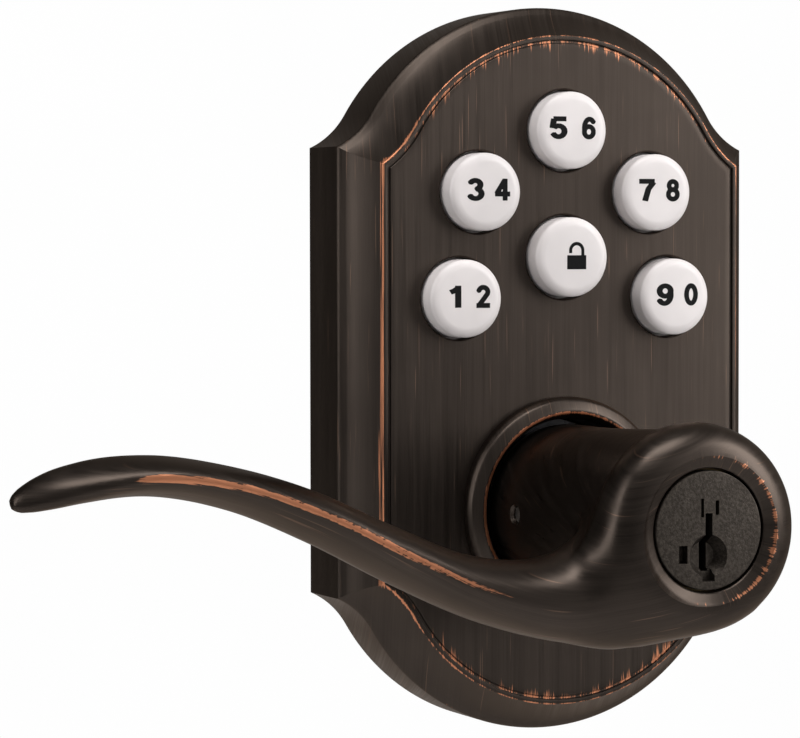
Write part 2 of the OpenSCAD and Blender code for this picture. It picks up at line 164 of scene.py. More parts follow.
def strip_faces(rings, count, closed=True):
    """Quads between rings of count points each."""
    last = count if closed else count - 1
    return [
        (i * count + k, i * count + (k + 1) % count, (i + 1) * count + (k + 1) % count, (i + 1) * count + k)
        for i in range(rings - 1)
        for k in range(last)
    ]


def lathe(name, profile, centre=(0.0, 0.0), sides=128, closed=False):
    """Solid of revolution about the sketch's z axis. profile is (radius, depth) pairs; where it isn't
    closed, its two ends are on the axis, and each becomes one point."""
    angles = np.linspace(0, 2 * math.pi, sides, endpoint=False)
    body = profile if closed else profile[1:-1]
    points = [(centre[0] + r * math.cos(a), centre[1] + r * math.sin(a), z) for r, z in body for a in angles]
    faces = strip_faces(len(body), sides)
    if closed:
        faces += [
            ((len(body) - 1) * sides + k, (len(body) - 1) * sides + (k + 1) % sides, (k + 1) % sides, k)
            for k in range(sides)
        ]
    else:
        start, end = len(points), len(points) + 1
        points += [(centre[0], centre[1], profile[0][1]), (centre[0], centre[1], profile[-1][1])]
        top = (len(body) - 1) * sides
        faces += [(start, (k + 1) % sides, k) for k in range(sides)]
        faces += [(end, top + k, top + (k + 1) % sides) for k in range(sides)]
    obj = mesh_object(name, points, faces)
    outward_normals(obj)
    return obj


def block(name, low, high):
    """Box between two sketch corners, used as a cutter."""
    x, y, z = zip(low, high)
    points = [(x[i], y[j], z[k]) for i in (0, 1) for j in (0, 1) for k in (0, 1)]
    faces = [(0, 1, 3, 2), (4, 6, 7, 5), (0, 4, 5, 1), (2, 3, 7, 6), (0, 2, 6, 4), (1, 5, 7, 3)]
    obj = mesh_object(name, points, faces)
    outward_normals(obj)
    return obj


def cut(obj, cutters, operation="DIFFERENCE"):
    """Exact boolean, applied, and the cutters removed."""
    for cutter in cutters:
        modifier = obj.modifiers.new("cut", "BOOLEAN")
        modifier.operation = operation
        modifier.solver = "EXACT"
        modifier.object = cutter
        apply_modifiers(obj)
        bpy.data.objects.remove(cutter)


def apply_modifiers(obj):
    deps = bpy.context.evaluated_depsgraph_get()
    old = obj.data
    obj.data = bpy.data.meshes.new_from_object(obj.evaluated_get(deps))
    obj.modifiers.clear()
    bpy.data.meshes.remove(old)


def rounded(points, radius, steps=5):
    """An open outline with each inner corner rounded, as a list of pairs."""
    result = [points[0]]
    for before, corner, after in zip(points, points[1:], points[2:]):
        c = np.array(corner)
        a, b = np.array(before) - c, np.array(after) - c
        reach = min(radius, 0.45 * np.linalg.norm(a), 0.45 * np.linalg.norm(b))
        a = c + a / np.linalg.norm(a) * reach
        b = c + b / np.linalg.norm(b) * reach
        for t in np.linspace(0, 1, steps):
            result.append(tuple((1 - t) ** 2 * a + 2 * t * (1 - t) * c + t**2 * b))
    return result + [points[-1]]


# ---------------------------------------------------------------- materials

def node_material(name):
    material = bpy.data.materials.new(name)
    material.use_nodes = True
    tree = material.node_tree
    return material, tree, tree.nodes["Principled BSDF"]


def link(tree, source, target):
    tree.links.new(source, target)


def noise(tree, vector, scale, detail=3.0, roughness=0.55):
    """Noise over a vector that is first stretched by scale, three numbers."""
    mapping = tree.nodes.new("ShaderNodeMapping")
    mapping.inputs["Scale"].default_value = scale
    link(tree, vector, mapping.inputs["Vector"])
    texture = tree.nodes.new("ShaderNodeTexNoise")
    texture.inputs["Scale"].default_value = 1.0
    texture.inputs["Detail"].default_value = detail
    texture.inputs["Roughness"].default_value = roughness
    link(tree, mapping.outputs["Vector"], texture.inputs["Vector"])
    return texture.outputs["Fac"]


def remap(tree, value, low, high, to_low=0.0, to_high=1.0, smoothly=True):
    node = tree.nodes.new("ShaderNodeMapRange")
    node.interpolation_type = "SMOOTHSTEP" if smoothly else "LINEAR"
    node.inputs["From Min"].default_value = low
    node.inputs["From Max"].default_value = high
    node.inputs["To Min"].default_value = to_low
    node.inputs["To Max"].default_value = to_high
    link(tree, value, node.inputs["Value"])
    return node.outputs["Result"]


def math_node(tree, operation, a, b):
    node = tree.nodes.new("ShaderNodeMath")
    node.operation = operation
    for socket, value in zip(node.inputs, (a, b)):
        if isinstance(value, (int, float)):
            socket.default_value = value
        else:
            link(tree, value, socket)
    return node.outputs["Value"]


def mix_colour(tree, factor, a, b):
    node = tree.nodes.new("ShaderNodeMix")
    node.data_type = "RGBA"
    link(tree, factor, node.inputs["Factor"])
    for key, value in (("A", a), ("B", b)):
        socket = [s for s in node.inputs if s.name == key and s.type == "RGBA"][0]
        if isinstance(value, tuple):
            socket.default_value = (*value, 1)
        else:
            link(tree, value, socket)
    return [s for s in node.outputs if s.type == "RGBA"][0]


def bump(tree, shader, height, strength, distance):
    node = tree.nodes.new("ShaderNodeBump")
    node.inputs["Strength"].default_value = strength
    node.inputs["Distance"].default_value = distance
    link(tree, height, node.inputs["Height"])
    link(tree, node.outputs["Normal"], shader.inputs["Normal"])


def object_coords(tree):
    return tree.nodes.new("ShaderNodeTexCoord").outputs["Object"]


def attribute(tree, name, output="Fac"):
    node = tree.nodes.new("ShaderNodeAttribute")
    node.attribute_name = name
    return node.outputs[output]


DARK = (0.043, 0.034, 0.0285)
BROWN = (0.066, 0.052, 0.0435)
COPPER = (0.60, 0.245, 0.13)
SCRATCH = (0.22, 0.135, 0.095)
EDGE_TINT = (0.86, 0.75, 0.67, 1)


def bronze(name, roughness):
    """Oil-rubbed bronze: a dark brushed coat, worn through to copper where the piece's own "worn" value is
    high; on the collar's left slope that value is partly a painted highlight.
    "brush" gives, in metres, the way across the brush marks and the way along them."""
    material, tree, shader = node_material(name)
    brush = attribute(tree, "brush", "Vector")
    worn = attribute(tree, "worn")
    fine = math_node(tree, "MULTIPLY", noise(tree, brush, (5200, 60, 900), 2.0), 0.45)
    broad = math_node(tree, "MULTIPLY", noise(tree, brush, (900, 16, 160), 3.0), 0.55)
    cloud = noise(tree, object_coords(tree), (28, 28, 28), 4.0)
    mixed = math_node(tree, "ADD", fine, broad)
    tone = remap(tree, mixed, 0.22, 0.82)
    coat = mix_colour(tree, tone, DARK, BROWN)
    shade = remap(tree, cloud, 0.3, 0.75, 0.82, 1.12)
    toned = tree.nodes.new("ShaderNodeVectorMath")
    toned.operation = "SCALE"
    link(tree, coat, toned.inputs[0])
    link(tree, shade, toned.inputs["Scale"])
    spread = math_node(tree, "MULTIPLY", math_node(tree, "SUBTRACT", mixed, 0.5), 1.9)
    bare = remap(tree, math_node(tree, "ADD", worn, spread), 0.46, 0.62)
    scratch = remap(tree, noise(tree, brush, (2900, 60, 500), 1.0), 0.68, 0.76, 0.0, 0.4)
    scratched = mix_colour(tree, scratch, toned.outputs["Vector"], SCRATCH)
    base = mix_colour(tree, bare, scratched, COPPER)
    link(tree, base, shader.inputs["Base Color"])
    shader.inputs["Metallic"].default_value = 0.95
    shader.inputs["Specular Tint"].default_value = EDGE_TINT
    rough = remap(tree, mixed, 0.3, 0.7, roughness - 0.06, roughness + 0.08)
    link(tree, rough, shader.inputs["Roughness"])
    bump(tree, shader, mixed, 0.15, 0.00004)
    return material


def metal(name, colour, roughness, grain=(900, 900, 60), strength=0.1):
    """Machined or plated metal, with tool marks and faint stains."""
    material, tree, shader = node_material(name)
    coords = object_coords(tree)
    marks = noise(tree, coords, grain, 3.0)
    stain = noise(tree, coords, (120, 120, 120), 4.0)
    darker = tuple(0.72 * c for c in colour)
    link(tree, mix_colour(tree, remap(tree, stain, 0.35, 0.7), colour, darker), shader.inputs["Base Color"])
    link(tree, remap(tree, marks, 0.3, 0.7, roughness - 0.07, roughness + 0.1), shader.inputs["Roughness"])
    shader.inputs["Metallic"].default_value = 1.0
    bump(tree, shader, marks, strength, 0.00005)
    return material


def moulded(name, colour, roughness, grain=1800, strength=0.12, clear=0.0):
    """Moulded plastic or rubber, with its fine surface texture."""
    material, tree, shader = node_material(name)
    coords = object_coords(tree)
    texture = noise(tree, coords, (grain, grain, grain), 2.0)
    cloud = noise(tree, coords, (70, 70, 70), 3.0)
    lighter = tuple(min(1.0, 1.12 * c + 0.004) for c in colour)
    link(tree, mix_colour(tree, remap(tree, cloud, 0.35, 0.7), colour, lighter), shader.inputs["Base Color"])
    link(tree, remap(tree, cloud, 0.3, 0.7, roughness - 0.04, roughness + 0.05), shader.inputs["Roughness"])
    shader.inputs["Coat Weight"].default_value = clear
    shader.inputs["Coat Roughness"].default_value = 0.15
    bump(tree, shader, texture, strength, 0.00003)
    return material


plate_bronze = bronze("plate_bronze", 0.40)
ring_bronze = bronze("ring_bronze", 0.36)
lever_bronze = bronze("lever_bronze", 0.33)
zinc = metal("zinc_plate", (0.58, 0.58, 0.56), 0.34, (700, 700, 60))
screw_steel = metal("screw_steel", (0.52, 0.52, 0.50), 0.28, (200, 2200, 200), 0.06)
hub_steel = metal("hub_steel", (0.46, 0.46, 0.45), 0.28, (150, 2600, 150), 0.05)
spring_steel = metal("spring_steel", (0.12, 0.12, 0.125), 0.33)
brass = metal("brass", (0.62, 0.43, 0.16), 0.25)
# Brass darkened to a painted shade, so the narrow gap round the key face reads as a shadowed ring.
brass_painted_shade = metal("brass_painted_shade", (0.10, 0.075, 0.04), 0.4)
rubber = moulded("rubber", (0.016, 0.016, 0.017), 0.72, 2600, 0.3)
foam = moulded("foam", (0.022, 0.022, 0.023), 0.9, 3500, 0.8)
silicone = moulded("silicone", (0.62, 0.62, 0.57), 0.42, 900, 0.08)
black_plastic = moulded("black_plastic", (0.022, 0.022, 0.023), 0.5, 2400, 0.2)
ivory_plastic = moulded("ivory_plastic", (0.70, 0.66, 0.55), 0.4, 1500, 0.1)
white_plastic = moulded("white_plastic", (0.74, 0.69, 0.68), 0.42, 700, 0.02, 0.08)
ink = moulded("ink", (0.004, 0.004, 0.004), 0.7, 3000, 0.1)
ink.node_tree.nodes["Principled BSDF"].inputs["Specular IOR Level"].default_value = 0.12


def key_face_material():
    """Grainy dark casting of the key face."""
    material, tree, shader = node_material("key_face")
    coords = object_coords(tree)
    grain = noise(tree, coords, (2300, 2300, 2300), 3.0, 0.7)
    cloud = noise(tree, coords, (260, 260, 260), 3.0)
    colour = mix_colour(tree, remap(tree, grain, 0.35, 0.68), (0.030, 0.024, 0.019), (0.060, 0.049, 0.040))
    link(tree, colour, shader.inputs["Base Color"])
    link(tree, remap(tree, cloud, 0.3, 0.7, 0.42, 0.56), shader.inputs["Roughness"])
    shader.inputs["Metallic"].default_value = 0.8
    bump(tree, shader, grain, 0.55, 0.00012)
    return material


def board_material():
    """Green solder mask over copper tracks."""
    material, tree, shader = node_material("solder_mask")
    coords = object_coords(tree)
    bricks = tree.nodes.new("ShaderNodeTexBrick")
    mapping = tree.nodes.new("ShaderNodeMapping")
    mapping.inputs["Rotation"].default_value = (math.radians(90), 0, 0)
    mapping.inputs["Scale"].default_value = (190, 190, 190)
    link(tree, coords, mapping.inputs["Vector"])
    link(tree, mapping.outputs["Vector"], bricks.inputs["Vector"])
    bricks.inputs["Mortar Size"].default_value = 0.05
    bricks.inputs["Scale"].default_value = 1.0
    cloud = noise(tree, coords, (400, 400, 400), 2.0)
    mask = mix_colour(tree, remap(tree, cloud, 0.3, 0.7), (0.008, 0.065, 0.028), (0.012, 0.09, 0.04))
    colour = mix_colour(tree, bricks.outputs["Fac"], mask, (0.03, 0.17, 0.07))
    link(tree, colour, shader.inputs["Base Color"])
    link(tree, remap(tree, cloud, 0.3, 0.7, 0.28, 0.4), shader.inputs["Roughness"])
    bump(tree, shader, bricks.outputs["Fac"], 0.3, 0.00003)
    return material


key_face = key_face_material()
board = board_material()


def finish_piece(obj, material, body, slot, *nodes, angle=32):
    """The last things done to every piece made here."""
    obj.data.materials.clear()
    obj.data.materials.append(material)
    smooth(obj, angle)
    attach(obj, body)
    if nodes:
        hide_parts(*nodes)
    return obj


# ---------------------------------------------------------------- escutcheon

def cove_centre():
    """Middle of the hollow curve, which touches the crown and ends on the shoulder."""
    gap = SHOULDER - CROWN_CENTRE
    span = np.linalg.norm(gap)
    toward = gap / span
    along = ((CROWN_R + COVE_R) ** 2 - COVE_R**2 + span**2) / (2 * span)
    across = math.sqrt((CROWN_R + COVE_R) ** 2 - along**2)
    return CROWN_CENTRE + along * toward + across * np.array([-toward[1], toward[0]])


COVE = cove_centre()
CROWN_START = math.atan2(COVE[1] - CROWN_CENTRE[1], COVE[0] - CROWN_CENTRE[0])


def quarter(inset, cove_steps=12, crown_steps=40, side_steps=6):
    """Upper right quarter of the outline, from the middle of the side to the top."""
    side_x = SHOULDER[0] - inset
    end = 2 * math.pi - math.acos((side_x - COVE[0]) / (COVE_R + inset))
    start = math.pi + CROWN_START
    corner = COVE[1] + (COVE_R + inset) * math.sin(end)
    points = [(side_x, corner * k / side_steps) for k in range(side_steps)]
    for k in range(cove_steps + 1):
        a = end + (start - end) * k / cove_steps
        points.append((COVE[0] + (COVE_R + inset) * math.cos(a), COVE[1] + (COVE_R + inset) * math.sin(a)))
    for k in range(1, crown_steps + 1):
        a = CROWN_START + (math.pi / 2 - CROWN_START) * k / crown_steps
        points.append((CROWN_CENTRE[0] + (CROWN_R - inset) * math.cos(a),
                       CROWN_CENTRE[1] + (CROWN_R - inset) * math.sin(a)))
    return points


def outline(inset):
    """Whole outline about the plate's middle, counter-clockwise."""
    q = quarter(inset)
    left = [(-x, y) for x, y in q[-2::-1]]
    below = [(-x, -y) for x, y in q[1:]]
    right = [(x, -y) for x, y in q[-2:0:-1]]
    return q + left + below + right


def inset_at(points):
    """How far inside the plate's outline each point lies, in millimetres."""
    x, y = np.abs(points[:, 0]), np.abs(points[:, 1] - PLATE_Y)
    side = SHOULDER[0] - x
    crown = CROWN_R - np.hypot(x - CROWN_CENTRE[0], y - CROWN_CENTRE[1])
    cove = np.hypot(x - COVE[0], y - COVE[1]) - COVE_R
    above = np.arctan2(y - CROWN_CENTRE[1], x - CROWN_CENTRE[0]) > CROWN_START
    return np.where(above, crown, np.minimum(side, cove))


def bevel_profile():
    """(inset, depth) pairs of the moulded edge: a rounded step, then a cove up to the lip."""
    rise = FACE - SIDE_DEPTH
    step = [(inset, SIDE_DEPTH + up) for inset, up in ((0, -0.5), (0.07, -0.2), (0.3, 0.12), (0.62, 0.38))]
    cove = [(BEVEL_W * t, SIDE_DEPTH + rise * t**BEVEL_HOLLOW) for t in np.linspace(0.24, 1, 20)]
    return step + cove


def plate_profile():
    """(inset, depth) pairs from the inner back edge round the outside to the face."""
    groove = [(GROOVE_START, FACE), (GROOVE_START, FACE - GROOVE_DEPTH),
              (GROOVE_START + GROOVE_W, FACE - GROOVE_DEPTH), (GROOVE_START + GROOVE_W, FACE)]
    outside = [(SIDE_WALL, 0), (0, 0)] + bevel_profile()[:-1] + [(BEVEL_W, FACE)] + groove
    outside = rounded(outside + [(GROOVE_START + 1.4, FACE)], 0.16, 4)
    face = [(inset, FACE) for inset in (7.6, 9.0, 11.0, 14.0)]
    return outside + face


def escutcheon():
    inner = [(BEVEL_W + 5, FACE - FACE_WALL), (BEVEL_W + 1.7, FACE - FACE_WALL),
             (BEVEL_W + 1.7, SIDE_DEPTH - 0.6), (SIDE_WALL, SIDE_DEPTH - 0.6)]
    profile = inner + plate_profile()
    rings = [[(x, y + PLATE_Y, depth) for x, y in outline(inset)] for inset, depth in profile]
    count = len(rings[0])
    points = [p for ring in rings for p in ring]
    faces = strip_faces(len(rings), count)
    faces.append(tuple(range(count - 1, -1, -1)))
    faces.append(tuple((len(rings) - 1) * count + k for k in range(count)))
    obj = mesh_object("escutcheon_shell", points, faces)
    outward_normals(obj)
    cutters = []
    for name in BUTTONS:
        r = button_radius(name) + BUTTON_GAP
        cutters.append(lathe("hole", rounded([
            (0, FACE - 6), (r, FACE - 6), (r, FACE - 0.25), (r + 0.3, FACE), (r + 0.9, FACE + 0.7),
            (0, FACE + 1)], 0.12), middle("button_" + name)))
    r = COLLAR_SKIRT + 0.05
    cutters.append(lathe("hole", [(0, FACE - 6), (r, FACE - 6), (r, FACE + 1), (0, FACE + 1)]))
    cut(obj, cutters)
    add_bosses(obj)
    dress_plate(obj)
    return finish_piece(obj, plate_bronze, "housing", "bronze", "escutcheon", angle=28)


def button_radius(name):
    return width_of("button_" + name) / 2 - 1


def add_bosses(obj):
    """Screw bosses behind the face, as tubes that meet it: four for the backplate's screws and four
    for the board's."""
    back = depth_range("backplate")[1]
    guide = depth_range("button_guide")[1]
    low_x = PLATE_W / 2 - 11
    backplate_places = ((-12.5, PLATE_H / 2 - 12.4), (12.5, PLATE_H / 2 - 12.4),
                        (-low_x, 27.6 - PLATE_H / 2), (low_x, 27.6 - PLATE_H / 2))
    board_places = ((-26, 20.6), (26, 20.6), (-10, 5.1), (10, 5.1))
    bosses = [((x, PLATE_Y + y), 3.0, 1.25, back) for x, y in backplate_places]
    bosses += [((x, PLATE_Y + y), 2.4, 0.9, guide) for x, y in board_places]
    parts = []
    for centre, outer, pilot, low in bosses:
        top = FACE - FACE_WALL + 0.01
        parts.append(lathe("boss", [
            (0, top - 1), (pilot, top - 1), (pilot, low + 0.3), (pilot + 0.3, low), (outer - 0.2, low),
            (outer, low + 0.2), (outer, top), (0, top)], centre, 48))
    join(obj, parts)


def join(obj, parts):
    with bpy.context.temp_override(
        active_object=obj, object=obj, selected_objects=[obj, *parts], selected_editable_objects=[obj, *parts]
    ):
        bpy.ops.object.join()


def near(value, centre, width):
    """1 at centre, falling to 0 over width."""
    return np.clip(1 - np.abs(value - centre) / width, 0, 1)


def dress_plate(obj):
    """Brush direction and wear of the escutcheon."""
    p = sketch_points(obj)
    inset = inset_at(p)
    depth = p[:, 2]
    y = p[:, 1] - PLATE_Y
    set_vector(obj, "brush", np.stack([p[:, 0] + 0.35 * depth, p[:, 1], 0 * depth], axis=1) * MM)
    lip = near(inset, BEVEL_W, 0.3) * (depth > FACE - 0.6)
    beside = np.clip(1 - (BEVEL_W - inset) / 0.9, 0, 1) * (inset < BEVEL_W) * (np.abs(y) < SHOULDER[1] - 1.5)
    lip = np.maximum(lip, 0.95 * beside)
    step = near(inset, 0.0, 0.45) * near(depth, SIDE_DEPTH, 0.6)
    groove = near(inset, GROOVE_START + GROOVE_W / 2, 0.45) * (depth > FACE - 1)
    arc = np.clip((np.abs(y) - 28) / 14, 0, 1)
    shoulder = near(np.abs(y), SHOULDER[1], 7)
    worn = 0.62 * lip + 0.42 * step + groove * (0.25 + 0.4 * arc) + 0.25 * shoulder * (lip + step)
    on_face = (depth > FACE - 0.1) * (inset > GROOVE_START)
    inside = np.clip(1 - (inset - GROOVE_START) / 3.5, 0, 1) * on_face
    worn = np.maximum(worn, inside * (0.14 + 0.36 * arc))
    set_value(obj, "worn", np.clip(worn, 0, 1) * (depth > 4))


# ---------------------------------------------------------------- collar

def lever_collar():
    bottom, top = depth_range("lever_collar")
    profile = rounded([
        (COLLAR_BORE, bottom), (COLLAR_SKIRT, bottom), (COLLAR_SKIRT, FACE), (COLLAR_R, FACE + 0.01),
        (COLLAR_R, FACE + 1.3), (COLLAR_R - 0.5, FACE + 2.2), (COLLAR_BORE + 1.35, top),
        (COLLAR_BORE + 0.8, top - 0.15), (COLLAR_BORE, FACE + 1.2), (COLLAR_BORE, bottom)], 0.3, 5)[:-1]
    obj = lathe("collar", profile, sides=160, closed=True)
    p = sketch_points(obj)
    r = np.hypot(p[:, 0], p[:, 1])
    angle = np.arctan2(p[:, 1], p[:, 0])
    set_vector(obj, "brush", np.stack([p[:, 0], p[:, 1] + 0.5 * p[:, 2], 0 * r], axis=1) * MM)
    edge = near(r, COLLAR_BORE + 1.0, 0.42) * (p[:, 2] > top - 0.6)
    # Copper on the slope is partly wear and partly a painted highlight, laid on the left side only, where the
    # slope looks lit.
    left = np.clip(0.5 - 0.7 * np.cos(angle - 0.4), 0, 1)
    slope = np.clip(1 - (r - COLLAR_BORE - 1) / 1.1, 0, 1) * (p[:, 2] > FACE + 1.6) * 0.40 * left
    set_value(obj, "worn", np.clip(0.72 * edge + slope, 0, 1))
    return finish_piece(obj, ring_bronze, "housing", "bronze_ring", "lever_collar")


# ---------------------------------------------------------------- buttons

BUTTON_EDGE = 1.5  # width of a button's rounded edge


def dome_height(r, button_r, top):
    """Depth of a button's front at radius r: a shallow dome with a soft edge."""
    edge = np.clip((r - (button_r - BUTTON_EDGE)) / BUTTON_EDGE, 0, 1)
    return top - 0.12 * (r / button_r) ** 2 - 0.95 * (1 - np.sqrt(np.clip(1 - edge**2, 0, 1)))


def button(name):
    low, top = depth_range("button_" + name)
    r = button_radius(name)
    centre = middle("button_" + name)
    flange_back = FACE - FACE_WALL - 1.5
    flat_r = r - BUTTON_EDGE
    turn = np.linspace(0.1, math.pi / 2, 14)
    radii = np.concatenate([np.linspace(0, flat_r, 8), flat_r + BUTTON_EDGE * np.sin(turn)])
    cap = [(x, float(dome_height(x, r, top))) for x in radii]
    skirt = rounded([cap[-1], (r, flange_back + 1.2), (r + 1, flange_back + 1.2), (r + 1, flange_back),
                     (2.0, flange_back), (2.0, low), (0, low)], 0.15, 4)
    obj = lathe("button_cap_" + name, cap + skirt[1:], centre, 96)
    finish_piece(obj, white_plastic, "button_" + name, "button_white", "button_" + name, angle=40)
    for piece in legends(name, centre, r, top):
        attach(piece, "button_" + name)


def arc(x, y, rx, ry, start, end, steps=16):
    """Points along part of an ellipse, with angles in degrees."""
    angles = np.radians(np.linspace(start, end, steps))
    return [(x + rx * math.cos(a), y + ry * math.sin(a)) for a in angles]


# Centre lines of bold digits one unit high, each a list of strokes.
DIGITS = {
    "0": [arc(0, 0, 0.215, 0.41, 0, 360, 40)],
    "1": [[(0.07, -0.5), (0.07, 0.5)], [(0.09, 0.40), (-0.07, 0.27), (-0.21, 0.20)]],
    "2": [arc(0, 0.21, 0.205, 0.205, 175, -35) + [(-0.16, -0.36)], [(-0.31, -0.41), (0.31, -0.41)]],
    "3": [arc(-0.01, 0.215, 0.185, 0.195, 160, -80), arc(0, -0.19, 0.215, 0.22, 80, -162)],
    "4": [[(0.11, 0.44), (-0.27, -0.19)], [(-0.34, -0.20), (0.35, -0.20)], [(0.12, -0.5), (0.12, 0.5)]],
    "5": [[(-0.19, 0.41), (0.29, 0.41)], [(-0.165, 0.41), (-0.225, -0.02)],
          arc(0, -0.16, 0.22, 0.25, 140, -160)],
    "6": [arc(0.01, -0.17, 0.21, 0.24, 0, 360, 32), arc(0.04, 0.0, 0.24, 0.41, 190, 35)],
    "7": [[(-0.30, 0.41), (0.29, 0.41)], [(0.25, 0.38), (0.05, 0.06), (-0.08, -0.5)]],
    "8": [arc(0, 0.22, 0.18, 0.19, 0, 360, 28), arc(0, -0.19, 0.215, 0.22, 0, 360, 32)],
    "9": [arc(-0.01, 0.17, 0.21, 0.24, 0, 360, 32), arc(-0.04, 0.0, 0.24, 0.41, 10, -145)],
}
STROKE = 0.225  # of the digits' height
DIGIT_H = 3.38
LEFT_WIDTH = 1.38  # the left digit is set wide
RIGHT_WIDTH = 1.12
LEGEND_LIFT = 0.02


def stroke_field(p, strokes, width):
    """Distance outside strokes with flat ends and round joins."""
    best = np.full(len(p), 9.0)
    for line in strokes:
        for n, (a, b) in enumerate(zip(line, line[1:])):
            a, b = np.array(a), np.array(b)
            along = (b - a) / np.linalg.norm(b - a)
            t = (p - a) @ along
            across = np.abs((p - a) @ np.array([-along[1], along[0]]))
            length = np.linalg.norm(b - a)
            best = np.minimum(best, np.maximum.reduce([across - width / 2, -t, t - length]))
            if n or line[0] == line[-1]:
                best = np.minimum(best, np.linalg.norm(p - a, axis=1) - width / 2)
    return best


def box_field(p, low, high):
    low, high = np.array(low), np.array(high)
    return np.max(np.abs(p - (low + high) / 2) - (high - low) / 2, axis=1)


def padlock_field(p):
    """Open padlock: a body under a shackle whose left leg stops short of it."""
    ring = np.abs(np.hypot(p[:, 0], p[:, 1] - 1.03) - 1.06) - 0.27
    shackle = np.maximum(ring, 1.03 - p[:, 1])
    right = box_field(p, (0.79, 0.1), (1.33, 1.04))
    left = box_field(p, (-1.33, 0.62), (-0.79, 1.04))
    return np.minimum.reduce([box_field(p, (-1.66, -1.89), (1.66, 0.29)), shackle, right, left])


def legend(name, field, low, high, centre, r, top, step=0.075):
    """Thin printed shape on a button's dome: every grid square inside the field, its edge points
    moved onto the field's outline."""
    xs, ys = np.arange(low[0], high[0], step), np.arange(low[1], high[1], step)
    grid = np.stack(np.meshgrid(xs, ys, indexing="ij"), axis=-1).reshape(-1, 2)
    inside = (field(grid) < 0.35 * step).reshape(len(xs), len(ys))
    quads = [
        (i * len(ys) + k, (i + 1) * len(ys) + k, (i + 1) * len(ys) + k + 1, i * len(ys) + k + 1)
        for i, k in zip(*np.nonzero(inside[:-1, :-1] & inside[1:, :-1] & inside[1:, 1:] & inside[:-1, 1:]))
    ]
    uses = np.bincount(np.array(quads).ravel(), minlength=len(grid))
    edge = (uses > 0) & (uses < 4)
    for _ in range(3):
        value = field(grid)
        slope = np.stack([(field(grid + d) - field(grid - d)) / 0.02 for d in ((0.01, 0), (0, 0.01))], axis=1)
        move = -slope * value[:, None] / np.maximum((slope**2).sum(axis=1), 0.2)[:, None]
        grid = grid + np.clip(move, -step, step) * edge[:, None]
    used = np.nonzero(uses)[0]
    number = {old: new for new, old in enumerate(used)}
    points = [
        (centre[0] + x, centre[1] + y, float(dome_height(math.hypot(x, y), r, top)) + LEGEND_LIFT)
        for x, y in grid[used]
    ]
    obj = mesh_object(name, points, [tuple(number[v] for v in q) for q in quads])
    obj.data.materials.append(ink)
    return obj


def legends(name, centre, r, top):
    """The two digits or the padlock of one button."""
    if name == "lock":
        def field(p):
            return padlock_field(p - np.array([0.5, 0.0]))

        return [legend("padlock_mark", field, (-1.5, -2.2), (2.5, 2.7), centre, r, top)]
    left_x = -2.65 if name == "56" else -2.0
    pieces = []
    for digit, x, width in zip(name, (left_x, 2.58), (LEFT_WIDTH, RIGHT_WIDTH)):
        place = np.array([x, 0.33])
        size = np.array([DIGIT_H * width, DIGIT_H])

        def field(p, strokes=DIGITS[digit], place=place, size=size):
            return DIGIT_H * stroke_field((p - place) / size, strokes, STROKE)

        pieces.append(legend(f"digit_{digit}", field, place - 2.3, place + 2.3, centre, r, top))
    return pieces


# ---------------------------------------------------------------- lever

# Share of the length from the axis, height over the axis, distance behind the key face, half
# height, half thickness, sharpness of the ridge and its drop.
ARM = np.array([
    [-0.04, -2.0, 7.5, 6.0, 4.0, 1.00, 0.0],
    [0.08, -6.0, 8.0, 11.0, 7.0, 1.00, 0.0],
    [0.20, -9.8, 10.0, 6.4, 7.6, 1.05, 0.0],
    [0.32, -8.2, 12.6, 4.7, 7.6, 1.20, -0.05],
    [0.44, -3.1, 14.8, 4.3, 7.4, 1.45, -0.10],
    [0.56, 2.7, 16.4, 3.9, 7.2, 1.60, -0.15],
    [0.68, 7.0, 17.5, 3.2, 6.8, 1.65, -0.15],
    [0.80, 9.1, 18.4, 2.9, 6.1, 1.60, 0.0],
    [0.90, 8.4, 19.2, 2.8, 4.8, 1.40, 0.3],
    [0.95, 7.3, 19.7, 2.4, 3.6, 1.20, 0.4],
    [0.975, 6.5, 20.0, 1.9, 2.4, 1.10, 0.4],
    [0.99, 6.0, 20.1, 1.3, 1.5, 1.00, 0.4],
    [0.997, 5.8, 20.1, 0.7, 0.8, 1.00, 0.4],
    [1.00, 5.7, 20.1, 0.2, 0.3, 1.00, 0.4],
])
LEVER_LENGTH = -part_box("lever_handle")[0].x / MM
ARM_START = 4  # the arm's plain end, inside the head
NET_STEP = 0.55


def arm_at(x):
    """The arm's table at each x, along a smooth curve."""
    share = np.clip(-x / LEVER_LENGTH, ARM[0, 0], ARM[-1, 0])
    keys = ARM[:, 0]
    slopes = np.gradient(ARM[:, 1:], keys, axis=0)
    i = np.clip(np.searchsorted(keys, share) - 1, 0, len(keys) - 2)
    h = keys[i + 1] - keys[i]
    t = (share - keys[i]) / h
    a, b = ARM[i, 1:].T, ARM[i + 1, 1:].T
    da, db = (slopes[i] * h[:, None]).T, (slopes[i + 1] * h[:, None]).T
    toward_b = 3 * t**2 - 2 * t**3
    return (1 - toward_b) * a + toward_b * b + (t**3 - 2 * t**2 + t) * da + (t**3 - t**2) * db


def arm_field(p):
    """Rough signed distance to the arm."""
    x, y, z = p.T
    rise, behind, half_h, half_d, sharp, drop = arm_at(x)
    forward = (z - (KEY_FACE - behind)) / half_d
    up = (y - rise) / half_h + drop * np.clip(forward, 0, 1)
    power = np.where(forward > 0, 2 / sharp, 2 / 0.85)
    round_value = np.sqrt(up**2 + np.abs(forward) ** power + 1e-9) - 1
    body = round_value * np.minimum(half_h, half_d)
    return np.maximum.reduce([body, 0.3 - LEVER_LENGTH - x, x - ARM_START])


